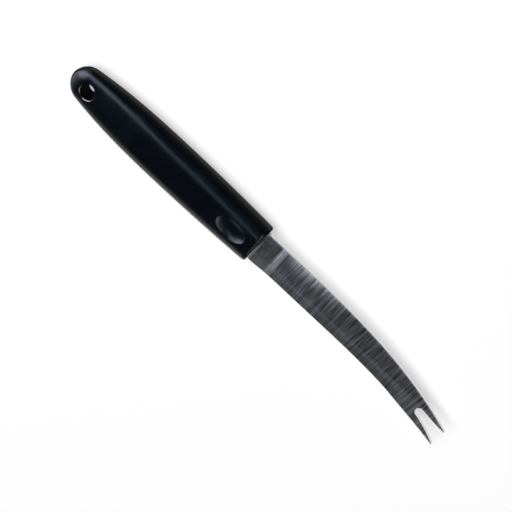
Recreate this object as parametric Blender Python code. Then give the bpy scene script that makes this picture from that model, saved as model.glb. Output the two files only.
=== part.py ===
"""Bar knife: a curved, fork-tipped stainless blade held in a one-piece moulded plastic handle.

Metres, +Z up. The knife lies on the flat of its handle. X runs from the butt of the handle to
the tips of the fork, Y points to the spine side of the blade and Z is square to the blade.
Below, x is measured from the butt, y from the handle's long axis and z from the middle plane
of the blade. The finished knife is then moved so that the origin is under its middle.
"""

import math

import bmesh
import bpy
from mathutils import Vector

# Handle
HANDLE_LENGTH = 0.1127
HANDLE_WIDTH = 0.0238
HANDLE_THICKNESS = 0.0134
FRONT_WIDTH = 0.0208
BUTT_WIDTH = 0.0146
BUTT_TOP_HEIGHT = 0.00375
BUTT_UNDERSIDE_HEIGHT = 0.00500
WIDEST_FROM_BUTT = 0.060
FULL_THICKNESS_FROM_BUTT = 0.058
BUTT_ROUNDING_LENGTH = 0.0075
BUTT_TOP_ROUNDING = 0.0075
BUTT_UNDERSIDE_ROUNDING = 0.0043
FRONT_FILLET = 0.0015
SIDE_POWER = 2.75
TAPER_POWER = 2
SECTION_POWER = 2.6
RESTING_FLAT_DEPTH = 0.00012

# Hang hole
HOLE_DIAMETER = 0.0076
HOLE_FROM_BUTT = 0.01085
HOLE_RIM_RADIUS = 0.00045
HOLE_RIM_SWEEP = math.radians(75)

# Thumb recess
THUMB_LENGTH = 0.0162
THUMB_WIDTH = 0.0099
THUMB_DEPTH = 0.0019
THUMB_BOWL_HEIGHT = 0.0040
THUMB_FROM_FRONT = 0.0139

# Blade
BLADE_LENGTH = 0.1170
BLADE_WIDTH = 0.0171
BLADE_SIDE_SHIFT = 0.0003
SPINE_THICKNESS = 0.0022
TIP_THICKNESS = 0.0018
SHOULDER_THICKNESS = 0.0018
EDGE_THICKNESS = 0.0003
BEVEL_WIDTH = 0.0040
SPINE_CURVE_FROM_HEEL = 0.0064
SPINE_CURVE_POWER = 3.2
EDGE_CURVE_FROM_HEEL = 0.0514
EDGE_CURVE_POWER = 2.2
EDGE_DROP = 0.0064
HEEL_CORNER_RADIUS = 0.0006
BEVEL_START_FROM_HEEL = 0.0016
PLUNGE_LENGTH = 0.0110
FACE_GRIND_LENGTH = 0.0080
BEVEL_END_FROM_TIP = 0.0200
BEVEL_FADE_LENGTH = 0.0160
UNGROUND_BEVEL_SHARE = 0.12

# Fork
TIP_SPREAD = 0.0098
TIP_WIDTH = 0.00035
FORK_DEPTH = 0.0162
FORK_ROOT_RADIUS = 0.00235

# Tang and its socket
TANG_LENGTH = 0.0620
TANG_WIDTH = 0.0110
TANG_THICKNESS = 0.0020
TANG_END_LENGTH = 0.0050
TANG_NOSE_ANGLE = math.radians(80)
TANG_BEND_SHARE = 0.25
TANG_HOLE_DIAMETER = 0.0050
TANG_HOLES_FROM_SHOULDER = (0.0220, 0.0470)
SOCKET_CLEARANCE = 0.0003
SHOULDER_GAP = 0.0003

# Fineness of the curved surfaces
SECTION_POINTS = 56
HANDLE_STEP = 0.0045
BLADE_STEP = 0.0030
ROUND_STEPS = 6
HOLE_SIDES = 48
CUTTER_OVERRUN = 0.0020
HANDLE_SHARP_ANGLE = math.radians(30)
BLADE_SHARP_ANGLE = math.radians(8)
MERGE_DISTANCE = 1e-7

HEEL_X = HANDLE_LENGTH + SHOULDER_GAP
TIP_X = HEEL_X + BLADE_LENGTH
SPINE_DROP = BLADE_WIDTH + EDGE_DROP - TIP_SPREAD


def blend(start, end, share):
    return start + (end - start) * share


def ease(share):
    """A smooth step from 0 to 1."""
    share = min(max(share, 0.0), 1.0)
    return share * share * (3 - 2 * share)


def round_end(distance, length):
    """The height, from 0 to 1, of a quarter ellipse at a distance from its tip."""
    left = max(length - distance, 0.0) / length
    return math.sqrt(max(1 - left * left, 0.0))


def spaced(start, end, step):
    """Even places from start up to, but not including, end."""
    count = max(1, math.ceil((end - start) / step))
    return [blend(start, end, index / count) for index in range(count)]


def front_inset(x):
    """How far the handle's skin draws in at its front fillet."""
    along = max(x - (HANDLE_LENGTH - FRONT_FILLET), 0.0)
    return FRONT_FILLET - math.sqrt(max(FRONT_FILLET**2 - along**2, 0.0))


def half_width(x):
    if x < WIDEST_FROM_BUTT:
        share = ((WIDEST_FROM_BUTT - x) / WIDEST_FROM_BUTT) ** SIDE_POWER
        side = blend(HANDLE_WIDTH, BUTT_WIDTH, share) / 2
    else:
        share = ((x - WIDEST_FROM_BUTT) / (HANDLE_LENGTH - WIDEST_FROM_BUTT)) ** TAPER_POWER
        side = blend(HANDLE_WIDTH, FRONT_WIDTH, share) / 2
    return side * round_end(x, BUTT_ROUNDING_LENGTH) - front_inset(x)


def crown(x, side):
    """How far the skin stands off the middle plane on the long axis: upper (1) or lower (-1)."""
    butt = BUTT_TOP_HEIGHT if side > 0 else BUTT_UNDERSIDE_HEIGHT
    rounding = BUTT_TOP_ROUNDING if side > 0 else BUTT_UNDERSIDE_ROUNDING
    left = max(FULL_THICKNESS_FROM_BUTT - x, 0.0) / FULL_THICKNESS_FROM_BUTT
    height = blend(HANDLE_THICKNESS / 2, butt, left**TAPER_POWER)
    return height * round_end(x, rounding) - front_inset(x)


def skin_height(x, y, side):
    """How far the upper (1) or lower (-1) skin stands off the middle plane."""
    across = min(abs(y) / half_width(x), 1.0)
    return crown(x, side) * (1 - across**SECTION_POWER) ** (1 / SECTION_POWER)


def section_ring(x):
    """One rounded cross-section of the handle."""
    ring = []
    for index in range(SECTION_POINTS):
        angle = 2 * math.pi * index / SECTION_POINTS
        across = math.copysign(abs(math.cos(angle)) ** (2 / SECTION_POWER), math.cos(angle))
        up = math.copysign(abs(math.sin(angle)) ** (2 / SECTION_POWER), math.sin(angle))
        ring.append(Vector((x, half_width(x) * across, crown(x, up) * up)))
    return ring


def loft(rings):
    """A closed bmesh through rings of equally many points."""
    bm = bmesh.new()
    loops = [[bm.verts.new(point) for point in ring] for ring in rings]
    for first, second in zip(loops, loops[1:]):
        for index in range(len(first)):
            after = (index + 1) % len(first)
            bm.faces.new((first[index], first[after], second[after], second[index]))
    bm.faces.new(loops[0])
    bm.faces.new(loops[-1])
    bmesh.ops.remove_doubles(bm, verts=bm.verts, dist=MERGE_DISTANCE)
    bmesh.ops.dissolve_degenerate(bm, edges=bm.edges, dist=MERGE_DISTANCE)
    bmesh.ops.recalc_face_normals(bm, faces=bm.faces)
    return bm


def prism(outline, bottom, top):
    """A flat outline of (x, y) points drawn up from bottom to top."""
    bm = bmesh.new()
    face = bm.faces.new([bm.verts.new((x, y, bottom)) for x, y in outline])
    drawn = bmesh.ops.extrude_face_region(bm, geom=[face])
    lifted = [item for item in drawn["geom"] if isinstance(item, bmesh.types.BMVert)]
    bmesh.ops.translate(bm, verts=lifted, vec=(0, 0, top - bottom))
    bmesh.ops.recalc_face_normals(bm, faces=bm.faces)
    return bm


def add_object(name, bm, parent):
    mesh = bpy.data.meshes.new(name)
    bm.to_mesh(mesh)
    bm.free()
    obj = bpy.data.objects.new(name, mesh)
    obj.parent = parent
    bpy.context.scene.collection.objects.link(obj)
    return obj


def add_cutter(name, bm, parent):
    cutter = add_object(name, bm, parent)
    cutter.hide_render = True
    cutter.display_type = "WIRE"
    return cutter


def cut(obj, cutter):
    boolean = obj.modifiers.new(cutter.name, "BOOLEAN")
    boolean.operation = "DIFFERENCE"
    boolean.solver = "EXACT"
    boolean.object = cutter


def finish(obj, material, sharp_angle):
    obj.data.materials.append(material)
    obj.data.shade_smooth()
    obj.data.set_sharp_from_angle(angle=sharp_angle)


def make_material(name, color, roughness, metallic):
    material = bpy.data.materials.new(name)
    material.use_nodes = True
    shader = material.node_tree.nodes["Principled BSDF"]
    shader.inputs["Base Color"].default_value = (*color, 1)
    shader.inputs["Roughness"].default_value = roughness
    shader.inputs["Metallic"].default_value = metallic
    return material


def handle_stations():
    """Places along the handle, close together where the butt and the front curve away."""
    quarter = [math.sin(math.pi / 2 * step / ROUND_STEPS) for step in range(ROUND_STEPS + 1)]
    places = {BUTT_ROUNDING_LENGTH * (1 - share) for share in quarter}
    places |= {BUTT_TOP_ROUNDING * (1 - share) for share in quarter}
    places |= {BUTT_UNDERSIDE_ROUNDING * (1 - share) for share in quarter}
    places |= {HANDLE_LENGTH - FRONT_FILLET * (1 - share) for share in quarter}
    places |= set(spaced(BUTT_ROUNDING_LENGTH, WIDEST_FROM_BUTT, HANDLE_STEP))
    places |= set(spaced(WIDEST_FROM_BUTT, HANDLE_LENGTH - FRONT_FILLET, HANDLE_STEP))
    return sorted(places)


def handle_body():
    """The moulded skin, with the flat that it rests on shaved into its underside."""
    bm = loft([section_ring(x) for x in handle_stations()])
    flat = HANDLE_THICKNESS / 2 - RESTING_FLAT_DEPTH
    bmesh.ops.bisect_plane(
        bm,
        geom=bm.verts[:] + bm.edges[:] + bm.faces[:],
        dist=MERGE_DISTANCE,
        plane_co=(0, 0, -flat),
        plane_no=(0, 0, -1),
        clear_outer=True,
    )
    rim = [edge for edge in bm.edges if edge.is_boundary]
    bmesh.ops.holes_fill(bm, edges=rim, sides=0)
    return bm


def hang_hole_cutter():
    """A turned plug whose flared ends follow the handle's skin, for a hole with a rounded rim."""
    skin = skin_height(HOLE_FROM_BUTT, 0, 1)
    top = skin + CUTTER_OVERRUN
    upper = []
    for step in range(ROUND_STEPS + 1):
        angle = HOLE_RIM_SWEEP * step / ROUND_STEPS
        radius = HOLE_DIAMETER / 2 + HOLE_RIM_RADIUS * (1 - math.cos(angle))
        drop = HOLE_RIM_RADIUS * (math.sin(HOLE_RIM_SWEEP) - math.sin(angle))
        upper.append((radius, skin - drop))
    flare = HOLE_RIM_RADIUS
    radius, height = upper[-1]
    radius += flare * math.sin(HOLE_RIM_SWEEP)
    upper.append((radius, height + flare * math.cos(HOLE_RIM_SWEEP)))
    upper += [(radius, top), (0, top)]
    profile = [(radius, -height) for radius, height in reversed(upper)] + upper
    bm = bmesh.new()
    points = [bm.verts.new((HOLE_FROM_BUTT + radius, 0, height)) for radius, height in profile]
    edges = [bm.edges.new(pair) for pair in zip(points, points[1:])]
    bmesh.ops.spin(
        bm,
        geom=points + edges,
        cent=(HOLE_FROM_BUTT, 0, 0),
        axis=(0, 0, 1),
        angle=2 * math.pi,
        steps=HOLE_SIDES,
        use_merge=True,
    )
    bmesh.ops.remove_doubles(bm, verts=bm.verts, dist=MERGE_DISTANCE)
    bmesh.ops.recalc_face_normals(bm, faces=bm.faces)
    for vert in bm.verts:
        vert.co.z *= skin_height(vert.co.x, vert.co.y, vert.co.z) / skin
    return bm


def thumb_cutter():
    """An ellipsoid whose lowest cap leaves the oval recess under the thumb."""
    centre = HANDLE_LENGTH - THUMB_FROM_FRONT
    skin = skin_height(centre, 0, 1)

    def reach(half, x, y):
        """The half axis that brings the bowl's rim to the skin at this point."""
        rise = THUMB_DEPTH - (skin - skin_height(x, y, 1))
        return half / math.sqrt(1 - (1 - rise / THUMB_BOWL_HEIGHT) ** 2)

    length = reach(THUMB_LENGTH / 2, centre + THUMB_LENGTH / 2, 0)
    width = reach(THUMB_WIDTH / 2, centre, THUMB_WIDTH / 2)
    bm = bmesh.new()
    bmesh.ops.create_uvsphere(bm, u_segments=HOLE_SIDES, v_segments=HOLE_SIDES, radius=1)
    bmesh.ops.scale(bm, vec=(length, width, THUMB_BOWL_HEIGHT), verts=bm.verts)
    height = skin - THUMB_DEPTH + THUMB_BOWL_HEIGHT
    bmesh.ops.translate(bm, vec=(centre, 0, height), verts=bm.verts)
    return bm


def tang_half_width(x, grown):
    """Half the width of the tang, or of its socket where grown is the clearance."""
    end = HEEL_X - TANG_LENGTH - grown
    return (TANG_WIDTH / 2 + grown) * round_end(x - end, TANG_END_LENGTH)


def tang_stations(grown):
    """Places round the tang's end, which stops just short of the point to leave a blunt nose."""
    end = HEEL_X - TANG_LENGTH - grown
    shares = [math.sin(TANG_NOSE_ANGLE * step / ROUND_STEPS) for step in range(ROUND_STEPS + 1)]
    return [end + TANG_END_LENGTH * (1 - share) for share in reversed(shares)]


def peg_cutter(name, distance, radius, parent):
    bm = bmesh.new()
    bmesh.ops.create_cone(
        bm,
        cap_ends=True,
        segments=HOLE_SIDES // 2,
        radius1=radius,
        radius2=radius,
        depth=2 * TANG_THICKNESS,
    )
    bmesh.ops.translate(bm, vec=(HEEL_X - distance, 0, 0), verts=bm.verts)
    return add_cutter(name, bm, parent)


def socket_cutter(parent):
    """The room for the tang, with the two pegs left standing that run through its holes."""
    places = tang_stations(SOCKET_CLEARANCE)
    mouth = HANDLE_LENGTH + CUTTER_OVERRUN
    half = TANG_WIDTH / 2 + SOCKET_CLEARANCE
    upper = [(x, tang_half_width(x, SOCKET_CLEARANCE)) for x in places] + [(mouth, half)]
    lower = [(x, -y) for x, y in reversed(upper)]
    height = TANG_THICKNESS / 2 + SOCKET_CLEARANCE
    cutter = add_cutter("socket_cutter", prism(upper + lower, -height, height), parent)
    for number, distance in enumerate(TANG_HOLES_FROM_SHOULDER, 1):
        radius = TANG_HOLE_DIAMETER / 2 - SOCKET_CLEARANCE
        cut(cutter, peg_cutter(f"peg_{number}_core", distance, radius, parent))
    return cutter


def make_handle(parent):
    handle = add_object("handle", handle_body(), parent)
    plastic = make_material("black_plastic", (0.008, 0.010, 0.013), 0.38, 0.0)
    finish(handle, plastic, HANDLE_SHARP_ANGLE)
    cut(handle, socket_cutter(parent))
    cut(handle, add_cutter("hang_hole_cutter", hang_hole_cutter(), parent))
    cut(handle, add_cutter("thumb_cutter", thumb_cutter(), parent))
    return handle


def spine_y(x):
    """The blade's straight back, which then curls over towards the fork."""
    start = HEEL_X + SPINE_CURVE_FROM_HEEL
    share = max(x - start, 0.0) / (TIP_X - start)
    corner = HEEL_CORNER_RADIUS * (1 - round_end(x - HEEL_X, HEEL_CORNER_RADIUS))
    return BLADE_WIDTH / 2 - BLADE_SIDE_SHIFT - SPINE_DROP * share**SPINE_CURVE_POWER - corner


def edge_y(x):
    """The cutting edge: straight from the heel, then one long arc."""
    start = HEEL_X + EDGE_CURVE_FROM_HEEL
    share = max(x - start, 0.0) / (TIP_X - start)
    corner = HEEL_CORNER_RADIUS * (1 - round_end(x - HEEL_X, HEEL_CORNER_RADIUS))
    drop = EDGE_DROP * share**EDGE_CURVE_POWER
    return -BLADE_WIDTH / 2 - BLADE_SIDE_SHIFT - drop + corner


def blade_ring(x):
    """One cross-section: full thickness at the spine, thinner behind the bevel, thin at the edge."""
    spine = blend(SPINE_THICKNESS, TIP_THICKNESS, (x - HEEL_X) / BLADE_LENGTH) / 2
    bevel_start = HEEL_X + BEVEL_START_FROM_HEEL
    bevel_end = TIP_X - BEVEL_END_FROM_TIP
    fade = 1 - ease((x - bevel_end + BEVEL_FADE_LENGTH) / BEVEL_FADE_LENGTH)
    bevel = ease((x - bevel_start) / PLUNGE_LENGTH) * fade
    ground = ease((x - bevel_start) / FACE_GRIND_LENGTH) * fade
    edge = blend(spine, EDGE_THICKNESS / 2, bevel)
    shoulder = blend(spine, SHOULDER_THICKNESS / 2, ground)
    width = BEVEL_WIDTH * blend(UNGROUND_BEVEL_SHARE, 1, bevel)
    return section(x, spine_y(x), edge_y(x), width, spine, shoulder, edge)


def section(x, back, front, width, spine, shoulder, edge):
    upper = [(back, spine), (front + width, shoulder), (front, edge)]
    lower = [(y, -z) for y, z in reversed(upper)]
    return [Vector((x, y, z)) for y, z in upper + lower]


def tang_ring(x):
    half = tang_half_width(x, 0)
    thick = TANG_THICKNESS / 2
    return section(x, half, -half, half * TANG_BEND_SHARE, thick, thick, thick)


def blade_stations():
    quarter = [math.sin(math.pi / 2 * step / ROUND_STEPS) for step in range(ROUND_STEPS + 1)]
    places = {HEEL_X + HEEL_CORNER_RADIUS * (1 - share) for share in quarter}
    plunge_start = HEEL_X + BEVEL_START_FROM_HEEL
    plunge_end = plunge_start + PLUNGE_LENGTH
    places |= set(spaced(plunge_start, plunge_end, PLUNGE_LENGTH / ROUND_STEPS))
    places |= set(spaced(plunge_end, TIP_X, BLADE_STEP)) | {TIP_X}
    return sorted(places)


def fork_cutter():
    """The slot between the prongs: a round root whose sides run out straight to the tips."""
    root_x = TIP_X - FORK_DEPTH + FORK_ROOT_RADIUS
    root = Vector((root_x, (spine_y(root_x) + edge_y(root_x)) / 2))
    upper_tip = Vector((TIP_X, spine_y(TIP_X) - TIP_WIDTH))
    lower_tip = Vector((TIP_X, edge_y(TIP_X) + TIP_WIDTH))

    def tangent(tip, side):
        """The angle at which the side that ends at this tip touches the round root."""
        away = tip - root
        return math.atan2(away.y, away.x) + side * math.acos(FORK_ROOT_RADIUS / away.length)

    first = tangent(upper_tip, 1)
    last = tangent(lower_tip, -1) + 2 * math.pi
    steps = 4 * ROUND_STEPS
    outline = []
    for step in range(steps + 1):
        angle = blend(first, last, step / steps)
        spoke = Vector((math.cos(angle), math.sin(angle)))
        outline.append(root + FORK_ROOT_RADIUS * spoke)
    for tip, touch in ((lower_tip, outline[-1]), (upper_tip, outline[0])):
        outline.append(tip + (tip - touch).normalized() * CUTTER_OVERRUN)
    return prism([tuple(point) for point in outline], -SPINE_THICKNESS, SPINE_THICKNESS)


def make_blade(parent):
    rings = [tang_ring(x) for x in tang_stations(0) + [HEEL_X]]
    rings += [blade_ring(x) for x in blade_stations()]
    blade = add_object("blade", loft(rings), parent)
    steel = make_material("cross_ground_steel", (0.30, 0.30, 0.32), 0.34, 1.0)
    finish(blade, steel, BLADE_SHARP_ANGLE)
    for number, distance in enumerate(TANG_HOLES_FROM_SHOULDER, 1):
        radius = TANG_HOLE_DIAMETER / 2
        cut(blade, peg_cutter(f"tang_hole_{number}_cutter", distance, radius, parent))
    cut(blade, add_cutter("fork_cutter", fork_cutter(), parent))
    return blade


def place_on_origin(parent, pieces):
    """Moves the knife so that the origin lies under the middle of its bounding box."""
    bpy.context.view_layer.update()
    graph = bpy.context.evaluated_depsgraph_get()
    points = []
    for piece in pieces:
        shown = piece.evaluated_get(graph)
        points += [shown.matrix_world @ vert.co for vert in shown.data.vertices]
    low = Vector([min(point[axis] for point in points) for axis in range(3)])
    high = Vector([max(point[axis] for point in points) for axis in range(3)])
    middle = (low + high) / 2
    parent.location -= Vector((middle.x, middle.y, low.z))


def main():
    for obj in list(bpy.data.objects):
        bpy.data.objects.remove(obj, do_unlink=True)
    knife = bpy.data.objects.new("bar_knife", None)
    bpy.context.scene.collection.objects.link(knife)
    place_on_origin(knife, [make_handle(knife), make_blade(knife)])


main()
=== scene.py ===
"""Looks of the bar knife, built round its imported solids.

Metres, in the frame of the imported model: X from the butt of the handle to the tips of the fork,
Y to the spine side of the blade, Z up. Both pieces are drawn in the knife's own lengths, where x
is measured from the butt, y from the handle's long axis and z from the blade's middle plane.
"""

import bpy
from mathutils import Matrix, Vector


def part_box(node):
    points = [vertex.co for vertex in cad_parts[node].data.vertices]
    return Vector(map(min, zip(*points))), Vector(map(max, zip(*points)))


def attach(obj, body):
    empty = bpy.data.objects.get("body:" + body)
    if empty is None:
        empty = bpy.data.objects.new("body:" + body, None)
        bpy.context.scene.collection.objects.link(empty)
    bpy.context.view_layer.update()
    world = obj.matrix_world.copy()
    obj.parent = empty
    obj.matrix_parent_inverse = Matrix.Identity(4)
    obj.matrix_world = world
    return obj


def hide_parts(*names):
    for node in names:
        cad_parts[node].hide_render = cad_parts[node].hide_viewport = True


bl_info = {
    "name": "Bar knife",
    "version": (1, 0, 0),
    "blender": (4, 5, 0),
    "location": "3D View > Sidebar > Bar knife",
    "description": "Builds a bar knife with a moulded handle and a cross-ground, forked blade",
    "category": "Add Mesh",
}

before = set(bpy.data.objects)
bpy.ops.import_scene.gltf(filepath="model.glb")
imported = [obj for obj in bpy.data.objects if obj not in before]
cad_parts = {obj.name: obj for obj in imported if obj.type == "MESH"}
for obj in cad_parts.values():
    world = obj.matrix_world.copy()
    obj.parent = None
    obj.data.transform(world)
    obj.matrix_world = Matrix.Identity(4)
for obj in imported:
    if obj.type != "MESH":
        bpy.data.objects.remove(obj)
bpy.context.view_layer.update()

import math

import bmesh
import bpy
from mathutils import Matrix, Vector

HANDLE_LOW, HANDLE_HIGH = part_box("handle")
BLADE_LOW, BLADE_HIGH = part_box("blade")
MM = 0.001

# Where the knife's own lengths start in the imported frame
BUTT_X = HANDLE_LOW.x
AXIS_Y = (HANDLE_LOW.y + HANDLE_HIGH.y) / 2
MIDDLE_Z = (BLADE_LOW.z + BLADE_HIGH.z) / 2

# Handle, as in the solids
HANDLE_LENGTH = HANDLE_HIGH.x - HANDLE_LOW.x
HANDLE_WIDTH = HANDLE_HIGH.y - HANDLE_LOW.y
HANDLE_THICKNESS = 2 * (HANDLE_HIGH.z - MIDDLE_Z)
RESTING_FLAT = MIDDLE_Z - HANDLE_LOW.z
FRONT_WIDTH = 20.8 * MM
BUTT_WIDTH = 14.6 * MM
BUTT_TOP_HEIGHT = 3.75 * MM
BUTT_UNDERSIDE_HEIGHT = 5 * MM
WIDEST_FROM_BUTT = 60 * MM
FULL_THICKNESS_FROM_BUTT = 58 * MM
BUTT_ROUNDING_LENGTH = 7.5 * MM
BUTT_TOP_ROUNDING = 7.5 * MM
BUTT_UNDERSIDE_ROUNDING = 4.3 * MM
SIDE_POWER = 2.75
TAPER_POWER = 2
SECTION_POWER = 2.6
HOLE_FROM_BUTT = 10.85 * MM
HOLE_RADIUS = 3.8 * MM
THUMB_FROM_FRONT = 13.9 * MM
THUMB_LENGTH = 16.2 * MM
THUMB_WIDTH = 9.9 * MM
THUMB_DEPTH = 1.9 * MM
THUMB_BOWL_HEIGHT = 4 * MM

# Front end of the handle, which is rounded further back than in the solids
FRONT_FILLET = 2.2 * MM
FRONT_FILLET_DROP = 2.0 * MM
FRONT_FILLET_POWER = 1.9
FRONT_CORNER = 1.0 * MM
PARTING_LINE_END = HANDLE_LENGTH - FRONT_FILLET / 3

# Blade, as in the solids, but with its shoulder drawn up close to the handle
SHOULDER_GAP = 0.04 * MM
HEEL_X = HANDLE_LENGTH + SHOULDER_GAP
TIP_X = BLADE_HIGH.x - BUTT_X
BLADE_WIDTH = 17.1 * MM
BLADE_LENGTH = TIP_X - HEEL_X
BLADE_SIDE_SHIFT = 0.3 * MM
SPINE_THICKNESS = BLADE_HIGH.z - BLADE_LOW.z
TIP_THICKNESS = 1.8 * MM
SHOULDER_THICKNESS = 1.8 * MM
EDGE_THICKNESS = 0.3 * MM
BEVEL_WIDTH = 4 * MM
SPINE_CURVE_FROM_HEEL = 6.4 * MM
SPINE_CURVE_POWER = 3.2
EDGE_CURVE_FROM_HEEL = 51.4 * MM
EDGE_CURVE_POWER = 2.2
EDGE_DROP = 6.4 * MM
BEVEL_START_FROM_HEEL = 1.6 * MM
PLUNGE_LENGTH = 11 * MM
FACE_GRIND_LENGTH = 8 * MM
BEVEL_END_FROM_TIP = 20 * MM
BEVEL_FADE_LENGTH = 16 * MM
TIP_SPREAD = 9.8 * MM
TIP_WIDTH = 0.35 * MM
FORK_DEPTH = 16.2 * MM
FORK_ROOT_RADIUS = 2.35 * MM
SPINE_DROP = BLADE_WIDTH + EDGE_DROP - TIP_SPREAD

# Finer forms of the blade, which the solids leave out
SHOULDER_ROUNDING = 0.3 * MM
EDGE_LAND = 0.05 * MM
UPPER_PRONG_BOW = 0.25 * MM
LOWER_PRONG_BOW = 0.5 * MM

# Tang and its socket
TANG_LENGTH = BLADE_HIGH.x - BLADE_LOW.x - BLADE_LENGTH
TANG_WIDTH = 11 * MM
TANG_THICKNESS = 2 * MM
TANG_NOSE_LENGTH = 4 * MM
TANG_NOSE_SHARE = 0.92
SOCKET_CLEARANCE = 0.3 * MM

# Fineness of the meshes, and how they are cut and shaded
HOLE_RIM_SWEEP = math.radians(80)
HOLE_WINDOW_MARGIN = 1.4 * MM
THUMB_WINDOW_MARGINS = (1 * MM, 0.9 * MM)
WINDOW_RINGS = 3
HANDLE_STEP = 0.9 * MM
HANDLE_SIDES = 144
BLADE_STEP = 1.2 * MM
ROUND_STEPS = 10
SHOULDER_STEPS = 4
CORNER_STEPS = 4
FACE_COLUMNS = 10
BEVEL_COLUMNS = 4
NOSE_STEPS = 5
FORK_ROOT_STEPS = 48
BOW_STEPS = 12
GROOVE_STEPS = 4
CUT_OVERRUN = 2 * MM
MERGE_DISTANCE = 1e-7
HANDLE_SHARP_ANGLE = math.radians(50)
BLADE_SHARP_ANGLE = math.radians(25)
SPINE_FACING = 0.6

# Rings of the thumb recess, as shares of its rim: the outer one, then those on the way inwards
THUMB_OUTER_RING = 1.12
THUMB_RINGS = (
    1.06, 1.03, 1.015, 1.0, 0.985, 0.97, 0.95, 0.92, 0.88, 0.82,
    0.75, 0.66, 0.56, 0.46, 0.36, 0.26, 0.17, 0.09, 0.03,
)

# Noise of the satin plastic: how much there is per metre, its detail and its roughness
GRAIN = (2600, 3.0, 0.6)
CLOUDS = (90, 3.0, 0.5)

# Values of the clouds between which they lighten and dull the plastic, and by how much
CLOUDS_LIGHTEN = (0.3, 0.75)
CLOUD_LIGHTENING = 1.7
CLOUDS_DULL = (0.35, 0.65)
ROUGHNESS_SPREAD = (-0.04, 0.05)
PLASTIC_BUMP = (0.004 * MM, 0.6)

# Dull line behind the front of the handle, a painted shade of the seam with the blade: start, end and
# fade, and the shine outside and in it
SEAM_SHADE_LINE = (0.3 * MM, 1.1 * MM, 0.15 * MM)
PLAIN_SHINE = 0.5
DULL_SHINE = 0.02

# Pale lip on the front of the handle: smooth steps behind the front and from the handle's axis
PALE_LIP = (0.4 * MM, 0.2 * MM)
PALE_LIP_SIDE = (3 * MM, 1 * MM)

# Ring on the rim of the hang hole where highlights are painted pale: start, end and fade, outside the
# hole's wall
RIM_HIGHLIGHT_RING = (0.15 * MM, 0.4 * MM, 0.12 * MM)

# Arcs of that ring that carry the painted highlights: turn from +X, half spread in degrees, and
# strength
RIM_HIGHLIGHT_ARCS = (
    (298, 26, 1.0),
    (207, 19, 0.5),
)

# Where an arc is 0 and where it is 1, in half spreads from its middle
ARC_FADE = (1.5, 0.5)

# Bands across the blade, as start, end and fade from the heel
# The line at the shoulder is rougher and carries a painted highlight
SHOULDER_LINE = (0.26 * MM, 0.61 * MM, 0.08 * MM)
GROOVE = (7.76 * MM, 8.16 * MM, 0.3 * MM)
FIRST_PASS = (9.16 * MM, 12.46 * MM, 0.5 * MM)

# Changes along the blade, as where they are 0 and where they are 1, from the heel
GROUND_FROM = (6.86 * MM, 8.26 * MM)
RUBBED_RISE = (12.26 * MM, 16.26 * MM)
RUBBED_FALL = (65.26 * MM, 11.26 * MM)
DARKENING = (22.26 * MM, 62.26 * MM)
LEANING = (37.26 * MM, 77.26 * MM)

# Changes across the blade, in the same way, from the handle's axis
BEVEL_FROM = (-2.9 * MM, -3.5 * MM)
NEAR_SPINE = (0.5 * MM, 8.5 * MM)
# Where the painted highlight on the shoulder line is least and where it is full
SHOULDER_HIGHLIGHT_SIDE = (3 * MM, -1 * MM)

# Grinding marks: width along the blade, length across it, and detail
COARSE_MARKS = (1.5 * MM, 30 * MM, 0.0)
FINE_MARKS = (0.5 * MM, 14 * MM, 1.0)
BROAD_MARKS = (4 * MM, 16 * MM, 1.0)
SCRATCHES = (0.8 * MM, 40 * MM, 0.0)
BLOTCHES = (2.2 * MM, 2.6 * MM, 3.0)
NOISE_ROUGHNESS = 0.6
FINE_SHARE = 0.6
BEVEL_MARK_SHARE = 0.6

# Values of their noise between which the marks go from dark to light
STREAK_NOISE = (0.4, 0.6)
BLOTCH_NOISE = (0.25, 0.75)
SCRATCH_NOISE = (0.66, 0.74)
BROAD_NOISE = (0.3, 0.7)
BROAD_LEVELS = (0.5, 1.1)

# Roughness of the spine and of the ground steel, and what adds to the latter
SPINE_ROUGHNESS = 0.32
PLAIN_ROUGHNESS = 0.29
BEVEL_ROUGHNESS = 0.07
MARK_ROUGHNESS = 0.03
SHOULDER_LINE_ROUGHNESS = 0.3
FIRST_PASS_SHARE = 0.8

# How the ground steel spreads light along the blade
ANISOTROPY = 0.75
STEEL_BUMP = (0.01 * MM, 0.4)

# Tone of the steel, where 1 is plain: what lightens it and what darkens it
SCRATCH_LIGHT = 0.45
# The shoulder line's lightening is a painted highlight: the least of it, and how much more it gets
SHOULDER_LINE_HIGHLIGHT = (0.15, 1.1)
GROOVE_DARK = 0.35
FAR_DARK = 0.22

# Soft lights: turn from +X, height, bright core and faint reach in degrees, and colour
SOFT_LIGHTS = (
    (6, 32, 0, 33, (1.33, 1.30, 1.24)),
    (147, 51, 16, 19, (1.55, 1.80, 2.47)),
    (139, 72, 6, 8, (1.35, 1.70, 2.25)),
    (143, 82, 0, 6, (0.95, 1.30, 1.85)),
    (304, 87, 3, 7, (0.60, 0.76, 1.08)),
    (336, 62, 2, 19, (0.17, 0.21, 0.24)),
    (265, 10, 0, 15, (0.70, 0.67, 0.70)),
    (183, -4, 0, 61, (1.78, 1.82, 2.16)),
    (347, 8, 25, 46, (1.55, 1.59, 1.64)),
    (182, 39, 0, 30, (2.90, 3.10, 3.90)),
    (39, 56, 12, 17, (0.80, 0.85, 0.97)),
)
STUDIO_DARK = (0.042, 0.048, 0.052)
WHITE = (1, 1, 1, 1)
FILL_PLACE = (-1.4, 0.95, 3.0)
FILL_SIZE = (3.2, 4.0)

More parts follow.
